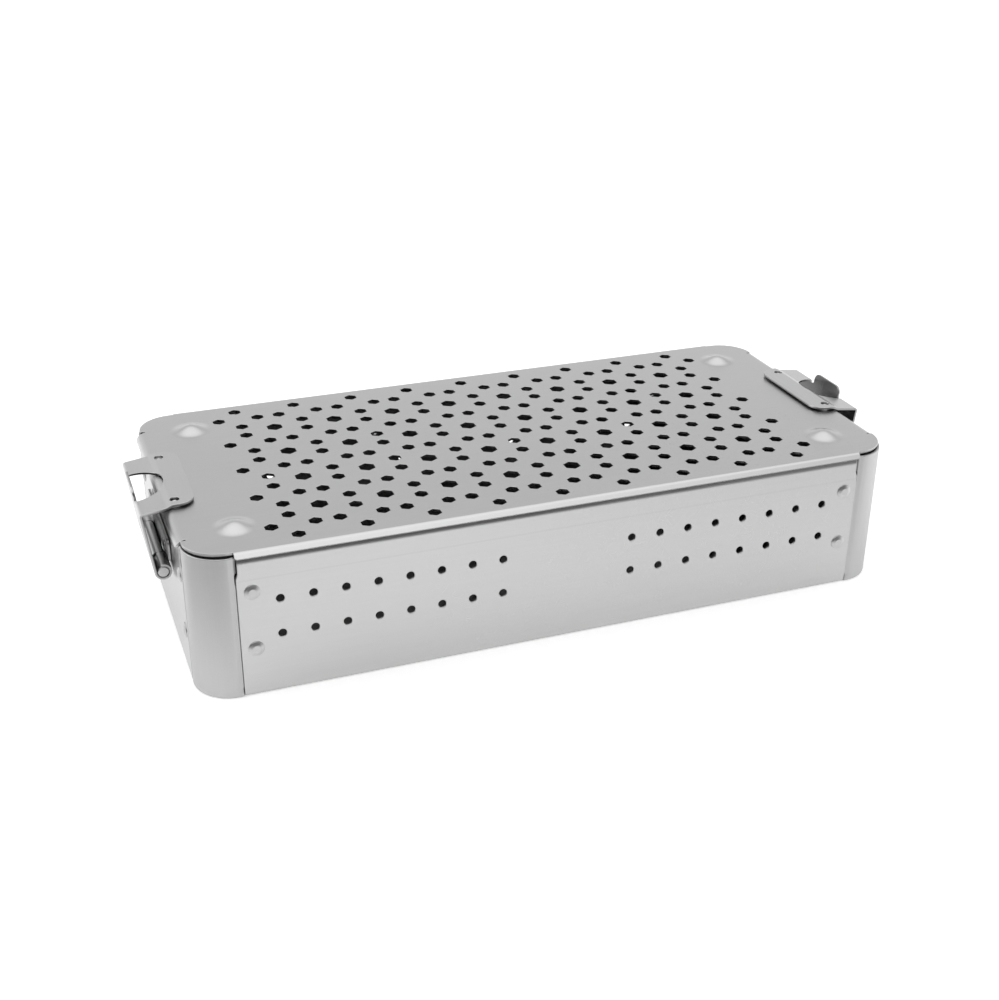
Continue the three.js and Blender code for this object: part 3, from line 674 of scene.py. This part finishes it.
def make_corner(name, x, y, quarters):
    """A quarter bend with straight tabs, turned by a number of quarters.

    Towards each seam the face sinks by JOGGLE * smooth(u) * smooth(z). Past the seam the tab drops by the
    rest of TAB_DEPTH, to lie behind the wall. The foot is tucked in by a quarter of an ellipse. Above the
    tab a narrow strip closes the notch in the wall from behind; it carries painted shade in its colour.
    """
    half_arc = CORNER_BEND * math.pi / 4
    strip = Strip(-CORNER_TAB, CORNER_BEND, 0.0)
    strip.run(CORNER_TAB)
    strip.bend(CORNER_BEND, -math.pi / 2, math.radians(7.5))
    strip.run(CORNER_TAB)
    middle = strip.s[-1] / 2
    seam = half_arc + WALL_X - CORNER_BEND - SEAM_X - SEAM_GAP / 2
    notch = seam + NOTCH_BACKING
    quarter_outline = [
        (seam, 0.0, 0.3), (seam, TAB_LOW, 0.3), (middle, TAB_LOW, 1.0), (middle, TAB_HIGH, 1.0),
        (seam, TAB_HIGH, 0.3), (seam, NOTCH_BACKING_LOW, 0.2), (notch, NOTCH_BACKING_HIGH, 0.3),
        (notch, CORNER_TOP, 0.5),
    ]
    outline = quarter_outline + [(-u, z, r) for u, z, r in reversed(quarter_outline)]
    rivet_u = half_arc + WALL_X - CORNER_BEND - SEAM_X + RIVET_INSET
    holes = [round_hole(side * rivet_u, z, RIVET_HOLE) for side in (-1, 1) for z in RIVET_HEIGHTS]
    spin = np.array([[1, 0], [0, 1]], float)
    for _ in range(quarters):
        spin = np.array([[0, -1], [1, 0]], float) @ spin
    centre = np.array([x * (WALL_X - CORNER_BEND), y * (WALL_Y - CORNER_BEND)])

    def place(u, z, w):
        from_seam = np.abs(u) - seam
        behind = JOGGLE * smooth(np.abs(u), seam - JOGGLE_RUN, seam) * smooth(z, FOOT_ROUND, TAB_LOW)
        past = smooth(np.abs(u), seam, seam + TAB_DROP_RUN)
        backing = NOTCH_BACKING_SINK * np.clip(from_seam / NOTCH_BACKING, 0, 1)
        past = np.where(z > TAB_HIGH + 1, backing, past)
        behind = behind + (TAB_DEPTH - JOGGLE) * past
        low = np.clip(FOOT_ROUND - z, 0, FOOT_ROUND)
        tuck = FOOT_ROUND - np.sqrt(np.maximum(FOOT_ROUND * FOOT_ROUND - low * low, 0))
        a, b = strip.at(u + middle, -(w + behind + FOOT_TUCK * tuck))
        flat = np.stack([a, b], 1) @ spin.T + centre
        return np.column_stack([flat, z])

    # Painted shade: the strip behind the wall's notch, and the face at the seam above the tab, are darkened
    def shade(u, z):
        return smooth(np.abs(u), seam - 0.3, seam + 0.1) * smooth(z, TAB_HIGH, TAB_HIGH + 2)

    lines = [(0, s - middle) for s in strip.lines]
    for side in (-1, 1):
        lines += [(0, side * (seam - JOGGLE_RUN + JOGGLE_RUN * k / 8)) for k in range(8)]
        lines += [(0, side * (seam + TAB_DROP_RUN * k / 6)) for k in range(7)]
    lines += [(1, z) for z in (*CORNER_ROWS, TAB_LOW)]
    piece = bent_sheet(name, rounded(outline), holes, SHEET, place, lines, edge=SHEET_EDGE, shade=shade)
    finish(piece, "tray", "tray_sheet", corner_steel, name)


def corner_rivet_profile():
    """Half section of a corner rivet: a flat tail, the body, and a low head that is part of a ball.

    On the head, height = RIVET_RISE + sqrt(ball^2 - r^2) - sqrt(ball^2 - head^2), with a flat middle.
    """
    radius = np.linspace(RIVET_HEAD - 0.02, RIVET_FLAT, 9)
    ball = RIVET_BALL ** 2
    height = RIVET_RISE + np.sqrt(ball - radius ** 2) - math.sqrt(ball - RIVET_HEAD ** 2)
    dome = [(r, h, 0.1) for r, h in zip(radius, height)]
    return [
        (0.0, RIVET_TAIL_LOW, 0.0),
        (RIVET_TAIL, RIVET_TAIL_LOW, 0.2),
        (RIVET_TAIL, RIVET_TAIL_HIGH, 0.1),
        (RIVET_SHANK, RIVET_TAIL_HIGH, 0.05),
        (RIVET_SHANK, RIVET_SEAT, 0.05),
        (RIVET_HEAD, RIVET_SEAT, 0.02),
        *dome,
        (0.0, height[-1], 0.0),
    ]


def make_corner_rivets():
    """Two rivets on each side of each corner, with their heads on the outside of the walls."""
    along_x = SEAM_X - RIVET_INSET
    along_y = SEAM_Y - RIVET_INSET
    for depth, y in (("front", -1), ("back", 1)):
        for end, x in (("left", -1), ("right", 1)):
            for level, z in zip(("lower", "upper"), RIVET_HEIGHTS):
                def on_side(p, x=x, y=y, z=z):
                    return np.column_stack([x * along_x + p[:, 0], y * (WALL_Y + p[:, 2]), z + p[:, 1]])

                def on_end(p, x=x, y=y, z=z):
                    return np.column_stack([x * (WALL_X + p[:, 2]), y * along_y + p[:, 0], z + p[:, 1]])

                for kind, place in (("side", on_side), ("end", on_end)):
                    name = f"rivet_{depth}_{end}_{kind}_{level}"
                    head = turned(name + "_head", corner_rivet_profile(), place)
                    finish(head, "tray", "fastener", rivet_steel, name)


# Lid

def hex_pairs():
    """Small holes in pairs either side of each crossing of the half lines.

    Those that would fall outside the rows and columns are left out.
    """
    half_x = HEX_COLUMNS / 2 * HEX_PITCH
    half_y = HEX_ROWS / 2 * HEX_PITCH
    half = HEX_PITCH / 2
    across = (np.arange(HEX_ROWS + 2) - 1) * HEX_PITCH - half_y + half
    along = (np.arange(HEX_COLUMNS + 2) - 1) * HEX_PITCH - half_x + half
    places = []
    for x in np.arange(HEX_COLUMNS + 1) * HEX_PITCH - half_x:
        for y in across:
            pair = (y - HEX_PAIR, y + HEX_PAIR)
            places += [(x, at) for at in pair if abs(at) < half_y + half]
    for y in np.arange(HEX_ROWS + 1) * HEX_PITCH - half_y:
        for x in along:
            pair = (x - HEX_PAIR, x + HEX_PAIR)
            places += [(at, y) for at in pair if abs(at) < half_x + half]
    return np.array(places)


def make_lid():
    """The pierced sheet, folded over the walls at its sides and ends but not at its corners.

    Each emboss rises by height * (1 + cos(pi * r)) / 2, with r from 0 at its middle to 1 at its foot.
    """
    flat_x = WALL_X - RIM_BEND
    fold_y = LID_SIDE_BEND * math.sin(LID_SIDE_SWEEP)
    flat_y = LID_SIDE_FACE - fold_y - LID_SIDE_LIP * math.cos(LID_SIDE_SWEEP)
    end_fold = Strip(0.0, 0.0, 0.0).bend(LID_END_BEND, LID_END_SWEEP)
    side_fold = Strip(0.0, 0.0, 0.0).bend(LID_SIDE_BEND, LID_SIDE_SWEEP).run(LID_SIDE_LIP)
    end_y = SEAM_Y - SEAM_GAP
    side_x = SEAM_X - SEAM_GAP
    quarter = [
        (flat_x + end_fold.s[-1], end_y, 1.4),
        (flat_x, end_y, 0.3),
        (flat_x, end_y + LID_SLIT, 0.3),
        (LID_REACH_X, end_y + LID_SLIT, 0.24),
        (LID_REACH_X, LID_REACH_Y, LID_CORNER),
        (side_x, LID_REACH_Y, 0.3),
        (side_x, flat_y + side_fold.s[-1], 0.8),
    ]
    holes = hex_holes(hex_grid(), LARGE_HEX) + hex_holes(hex_pairs(), SMALL_HEX)
    domes = [np.array([x * DOME_X, y * DOME_Y]) for x in (-1, 1) for y in (-1, 1)]
    rings = []
    for k in range(1, 9):
        angle = 2 * math.pi * (np.arange(32) + k / 2) / 32
        ring = DOME_RADIUS * 1.02 * k / 8 * np.stack([np.cos(angle), np.sin(angle)], 1)
        rings += [ring + d for d in domes]

    def place(u, v, w):
        a, b = end_fold.at(np.abs(u) - flat_x, w)
        c, d = side_fold.at(np.abs(v) - flat_y, w)
        folds_x = (np.abs(u) > flat_x) & (np.abs(v) < end_y + LID_SLIT / 2)
        folds_y = np.abs(v) > flat_y
        x = np.where(folds_x, np.sign(u) * (flat_x + a), u)
        y = np.where(folds_y, np.sign(v) * (flat_y + c), v)
        sunk = np.where(folds_x, b, np.where(folds_y, d, w))
        r = np.hypot(np.abs(u) - DOME_X, np.abs(v) - DOME_Y) / DOME_RADIUS
        rise = np.where(r < 1, DOME_HEIGHT * (1 + np.cos(math.pi * np.minimum(r, 1))) / 2, 0)
        return np.stack([x, y, LID_TOP - sunk + rise], 1)

    lines = [(0, sign * (flat_x + s)) for s in end_fold.lines for sign in (-1, 1)]
    lines += [(1, sign * (flat_y + s)) for s in side_fold.lines for sign in (-1, 1)]
    lid = bent_sheet("lid_sheet", rounded(four_ways(quarter)), holes, SHEET, place, lines, rings)
    finish(lid, "lid", "lid_sheet", lid_steel, "lid_panel")


def make_pips():
    """Round pips on the lid that the latches' spring holes drop over: a quarter of an ellipse, spun."""
    angle = np.radians(np.arange(0, 90, 12))
    dome = [(PIP_RADIUS * math.cos(a), PIP_SIDE + PIP_DOME * math.sin(a), 0.04) for a in angle]
    top = PIP_SIDE + PIP_DOME
    profile = [(0.0, PIP_ROOT, 0.0), (PIP_RADIUS, PIP_ROOT, 0.1), *dome, (0.0, top, 0.0)]
    for end, x in (("left", -1), ("right", 1)):
        for depth, y in (("front", -1), ("back", 1)):
            centre = np.array([x * SPRING_HOLE_X, y * SPRING_HOLE_Y, LID_TOP])

            def place(p, centre=centre):
                return centre + p

            finish(turned(f"lid_pip_{end}_{depth}", profile, place, 24), "lid", "lid_sheet", rivet_steel)


# Hinges and latches, worked out for the right-hand end and turned half round for the left

def make_latch(end, turn):
    """One bent sheet: a pad over the lid, a step, a shoulder, a leaning leg and two curls round the pin.

    The thumb tab is the part of the leg that stays straight: point = foot + rise * (sin lean, cos lean).
    """
    foot = np.array([HINGE_X + CURL * math.cos(LATCH_LEAN), HINGE_Z - CURL * math.sin(LATCH_LEAN)])
    shoulder = foot[0] + (SHOULDER_Z - foot[1]) * math.tan(LATCH_LEAN)
    strip = strip_through([
        (PAD_EDGE, PAD_TOP, 0.0),
        (STEP_X, PAD_TOP, STEP_BEND),
        (STEP_X + STEP_RUN, PAD_TOP - STEP_DROP, STEP_BEND),
        (shoulder, SHOULDER_Z, SHOULDER_BEND),
        (foot[0], foot[1], 0.0),
    ])
    leg_end = strip.s[-1]
    strip.bend(CURL, -LATCH_SWEEP)
    reach = strip.s[-1]
    per_height = 1 / math.cos(LATCH_LEAN)
    window = strip.along(WINDOW_X)
    window_foot = leg_end - (WINDOW_FOOT - foot[1]) * per_height
    thumb_tip = leg_end - (THUMB_TOP - foot[1]) * per_height
    knuckle_top = leg_end - (HINGE_Z + CURL + KNUCKLE_ROOM - foot[1]) * per_height
    arm = KNUCKLE + KNUCKLE_GAP
    outline = rounded([
        (0.0, -LATCH_WIDTH, PAD_CORNER), (reach, -LATCH_WIDTH, 0.3),
        (reach, -arm, 0.3), (knuckle_top, -arm, 0.9),
        (knuckle_top, arm, 0.9), (reach, arm, 0.3),
        (reach, LATCH_WIDTH, 0.3), (0.0, LATCH_WIDTH, PAD_CORNER),
    ])
    slot = (WINDOW_WIDTH - THUMB_WIDTH) / 2 - 0.05
    opening = rounded([
        (window, -WINDOW_WIDTH, WINDOW_CORNER), (window, WINDOW_WIDTH, WINDOW_CORNER),
        (window_foot, WINDOW_WIDTH, slot), (window_foot, THUMB_WIDTH, slot),
        (thumb_tip, THUMB_WIDTH, THUMB_CORNER), (thumb_tip, -THUMB_WIDTH, THUMB_CORNER),
        (window_foot, -THUMB_WIDTH, slot), (window_foot, -WINDOW_WIDTH, slot),
    ])
    spring = strip.along(SPRING_HOLE_X)
    holes = [opening] + [round_hole(spring, y * SPRING_HOLE_Y, SPRING_HOLE, 28) for y in (-1, 1)]

    def place(u, v, w):
        x, z = strip.at(u, -w)
        lean = LATCH_LEAN
        rise = leg_end - u
        thumb_x = foot[0] + rise * math.sin(lean) - w * math.cos(lean)
        thumb_z = foot[1] + rise * math.cos(lean) + w * math.sin(lean)
        thumb = (np.abs(v) < (WINDOW_WIDTH + THUMB_WIDTH) / 2) & (u > thumb_tip - 1) & (u < window_foot)
        x = np.where(thumb, thumb_x, x)
        z = np.where(thumb, thumb_z, z)
        return np.stack([turn * x, turn * v, z], 1)

    lines = [(0, s) for s in strip.lines]
    piece = bent_sheet(f"latch_{end}_sheet", outline, holes, THIN_SHEET, place, lines)
    finish(piece, f"{end}_latch", "latch_sheet", latch_steel, f"latch_{end}")


def make_bracket(end, turn):
    """A flat plate on the wall whose middle runs down and curls round the pin."""
    strip = Strip(BRACKET_FACE, BRACKET_TOP, -math.pi / 2)
    strip.run(BRACKET_TOP - HINGE_Z)
    strip.bend(CURL, BRACKET_SWEEP)
    reach = strip.s[-1]
    ear = BRACKET_TOP - BRACKET_EAR
    outline = rounded([
        (0.0, -BRACKET_WIDTH, 1.5), (ear, -BRACKET_WIDTH, 1.5),
        (ear, -KNUCKLE, 0.4), (reach, -KNUCKLE, 0.3),
        (reach, KNUCKLE, 0.3), (ear, KNUCKLE, 0.4),
        (ear, BRACKET_WIDTH, 1.5), (0.0, BRACKET_WIDTH, 1.5),
    ])
    down = BRACKET_TOP - BRACKET_RIVET_Z
    holes = [round_hole(down, y * BRACKET_RIVET_Y, BRACKET_RIVET_HOLE) for y in (-1, 1)]

    def place(u, v, w):
        x, z = strip.at(u, w)
        return np.stack([turn * x, turn * v, z], 1)

    lines = [(0, s) for s in strip.lines]
    piece = bent_sheet(f"hinge_bracket_{end}_sheet", outline, holes, THIN_SHEET, place, lines)
    finish(piece, "tray", "bracket_sheet", bracket_steel, f"hinge_bracket_{end}")


def make_pin(end, turn):
    """A round rod along y, as long as the latch is wide, with rounded rims."""
    half = LATCH_WIDTH
    profile = [(0.0, -half, 0.0), (PIN, -half, 0.35), (PIN, half, 0.35), (0.0, half, 0.0)]

    def place(p):
        return np.column_stack([turn * (HINGE_X + p[:, 0]), p[:, 2], HINGE_Z + p[:, 1]])

    rod = turned(f"hinge_pin_{end}_rod", profile, place, 48)
    finish(rod, "tray", "fastener", rivet_steel, f"hinge_pin_{end}")


def make_bracket_rivets(end, turn):
    """Two domed rivets, each a tail inside the wall, a body and a head: a quarter of an ellipse, spun."""
    angle = np.radians(np.arange(0, 90, 10))
    radius = BRACKET_RIVET_HEAD * np.cos(angle)
    height = BRACKET_RIVET_SIDE + BRACKET_RIVET_DOME * np.sin(angle)
    dome = [(r, h, 0.05) for r, h in zip(radius, height)]
    profile = [
        (0.0, BRACKET_RIVET_TAIL_LOW, 0.0),
        (BRACKET_RIVET_HEAD, BRACKET_RIVET_TAIL_LOW, 0.2),
        (BRACKET_RIVET_HEAD, BRACKET_RIVET_TAIL_HIGH, 0.1),
        (BRACKET_RIVET_SHANK, BRACKET_RIVET_TAIL_HIGH, 0.05),
        (BRACKET_RIVET_SHANK, BRACKET_RIVET_SEAT, 0.05),
        (BRACKET_RIVET_HEAD, BRACKET_RIVET_SEAT, 0.02),
        *dome,
        (0.0, BRACKET_RIVET_SIDE + BRACKET_RIVET_DOME, 0.0),
    ]
    for depth, y in (("front", -1), ("back", 1)):
        def place(p, across=y * BRACKET_RIVET_Y):
            return np.column_stack([turn * (WALL_X + p[:, 2]), across + p[:, 0], BRACKET_RIVET_Z + p[:, 1]])

        name = f"bracket_rivet_{end}_{depth}"
        finish(turned(name + "_head", profile, place), "tray", "fastener", rivet_steel, name)


make_tray()
make_corner("corner_back_right", 1, 1, 0)
make_corner("corner_back_left", -1, 1, 1)
make_corner("corner_front_left", -1, -1, 2)
make_corner("corner_front_right", 1, -1, 3)
make_corner_rivets()
make_lid()
make_pips()
for end, turn in (("right", 1), ("left", -1)):
    make_latch(end, turn)
    make_bracket(end, turn)
    make_pin(end, turn)
    make_bracket_rivets(end, turn)


# Floor, light and camera. Lengths are in metres here, and directions in the floor's plane are unit vectors

FLOOR_HALF = 6.0
FLOOR_GLOW_CAMERA = 0.45
FLOOR_GLOW_GLOSSY = 0.31
FRONT_WAY = (-0.259, -0.966)
LEFT_WAY = (-0.906, -0.423)
RIGHT_WAY = (0.643, -0.766)
LAMP_AIM = (0, 0, 0.02)
CAMERA_LENS = 51.37
CAMERA_PLACE = (-0.160292, -0.416809, 0.194835 + LID_TOP * MM)
CAMERA_RIGHT = (0.936629, -0.350240, 0.007597)
CAMERA_UP = (0.148678, 0.417052, 0.896639)
CAMERA_BACK = (-0.317207, -0.838689, 0.442696)


def make_floor():
    """A pale floor, white to the camera. Away from the container, reflections look past it into the room.

    Seen in metal, it fades with the distance from the walls, sqrt(off_x^2 + off_y^2).
    """
    mesh = bpy.data.meshes.new("floor")
    corners = [(x * FLOOR_HALF, y * FLOOR_HALF, 0) for x, y in ((-1, -1), (1, -1), (1, 1), (-1, 1))]
    mesh.from_pydata(corners, [], [(0, 1, 2, 3)])
    floor = bpy.data.objects.new("floor", mesh)
    bpy.context.scene.collection.objects.link(floor)
    material = bpy.data.materials.new("pale floor")
    material.use_nodes = True
    tree = material.node_tree
    shader = tree.nodes["Principled BSDF"]
    shader.inputs["Base Color"].default_value = (0.8, 0.8, 0.8, 1.0)
    shader.inputs["Roughness"].default_value = 0.9
    shader.inputs["Specular IOR Level"].default_value = 0.0
    path = tree.nodes.new("ShaderNodeLightPath")
    camera = Socket(tree, path.outputs["Is Camera Ray"])
    glossy = Socket(tree, path.outputs["Is Glossy Ray"])
    glow = camera * FLOOR_GLOW_CAMERA + glossy * FLOOR_GLOW_GLOSSY
    shader.inputs["Emission Color"].default_value = (1.0, 1.0, 1.0, 1.0)
    tree.links.new(glow.link, shader.inputs["Emission Strength"])
    split = tree.nodes.new("ShaderNodeSeparateXYZ")
    tree.links.new(node(tree, "ShaderNodeTexCoord", {}, {}, output=3).link, split.inputs[0])
    off_x = (Socket(tree, split.outputs["X"]).maths("ABSOLUTE") - WALL_X * MM).maths("MAXIMUM", 0.0)
    off_y = (Socket(tree, split.outputs["Y"]).maths("ABSOLUTE") - WALL_Y * MM).maths("MAXIMUM", 0.0)
    away = (off_x * off_x + off_y * off_y).maths("SQRT")
    see_past = ramp(tree, away, 0.01, 0.09, 0.0, 0.85) * glossy
    clear = tree.nodes.new("ShaderNodeBsdfTransparent")
    mix = tree.nodes.new("ShaderNodeMixShader")
    tree.links.new(see_past.link, mix.inputs[0])
    tree.links.new(shader.outputs[0], mix.inputs[1])
    tree.links.new(clear.outputs[0], mix.inputs[2])
    tree.links.new(mix.outputs[0], tree.nodes["Material Output"].inputs[0])
    floor.data.materials.append(material)


def make_world():
    """White to the camera. To the object, a white room with a soft ceiling and a darker side in front.

    Strength depends on up, the height of the direction, and on how far it faces the front, left or right.
    """
    world = bpy.data.worlds.new("studio")
    bpy.context.scene.world = world
    world.use_nodes = True
    tree = world.node_tree
    background = tree.nodes["Background"]
    way = node(tree, "ShaderNodeTexCoord", {}, {}, output=0)
    split = tree.nodes.new("ShaderNodeSeparateXYZ")
    tree.links.new(way.link, split.inputs[0])
    x, y, up = (Socket(tree, split.outputs[k]) for k in ("X", "Y", "Z"))
    flat = (x * x + y * y).maths("SQRT").maths("MAXIMUM", 0.001)

    def facing(way, low, high):
        return ramp(tree, (x * way[0] + y * way[1]) / flat, low, high)

    in_front = facing(FRONT_WAY, 0.3, 0.7)
    to_left = facing(LEFT_WAY, 0.3, 0.42)
    to_right = facing(RIGHT_WAY, 0.9, 1.0)
    # Above: a band of light behind the container, dimmer higher up, and a bright ceiling
    back = ramp(tree, up, 0.3, 0.46, 0.88, 0.62) + ramp(tree, up, 0.6, 0.8, 0.0, 0.6)
    front = ramp(tree, up, 0.5, 0.66, 0.1, 1.32)
    above = back * (1 - in_front) + front * in_front
    # Below: bright all round, dimmer to the left and the right, and dark close under the front
    below = 1.28 - to_left * 0.66 - to_right * 0.36
    below = below * (1 - in_front * ramp(tree, up, -0.28, -0.2, 0.0, 0.92))
    lower = ramp(tree, up, -0.01, 0.01, 1.0, 0.0)
    room = above * (1 - lower) + below * lower
    path = tree.nodes.new("ShaderNodeLightPath")
    camera = Socket(tree, path.outputs["Is Camera Ray"])
    strength = room * (1 - camera) + camera
    tree.links.new(strength.link, background.inputs["Strength"])
    background.inputs["Color"].default_value = (1.0, 1.0, 1.0, 1.0)


def make_lamp(name, place, size, power):
    """A square lamp that faces the container."""
    lamp = bpy.data.lights.new(name, "AREA")
    lamp.shape = "SQUARE"
    lamp.size = size
    lamp.energy = power
    holder = bpy.data.objects.new(name, lamp)
    holder.location = place
    holder.rotation_euler = (Vector(LAMP_AIM) - Vector(place)).to_track_quat("-Z", "Y").to_euler()
    bpy.context.scene.collection.objects.link(holder)


def make_camera():
    """The camera that was fitted to the photograph, from its place and its three axes."""
    camera = bpy.data.cameras.new("camera")
    camera.lens = CAMERA_LENS
    camera.clip_start = 0.01
    holder = bpy.data.objects.new("camera", camera)
    turn = Matrix((CAMERA_RIGHT, CAMERA_UP, CAMERA_BACK)).transposed().to_4x4()
    holder.matrix_world = Matrix.Translation(CAMERA_PLACE) @ turn
    bpy.context.scene.collection.objects.link(holder)
    bpy.context.scene.camera = holder


make_floor()
make_world()
make_lamp("top softbox", (-0.15, -0.35, 1.15), 1.6, 0.7)
make_lamp("left softbox", (-1.0, 0.45, 0.75), 0.7, 2.3)
make_camera()
bpy.context.scene.view_settings.view_transform = "Standard"
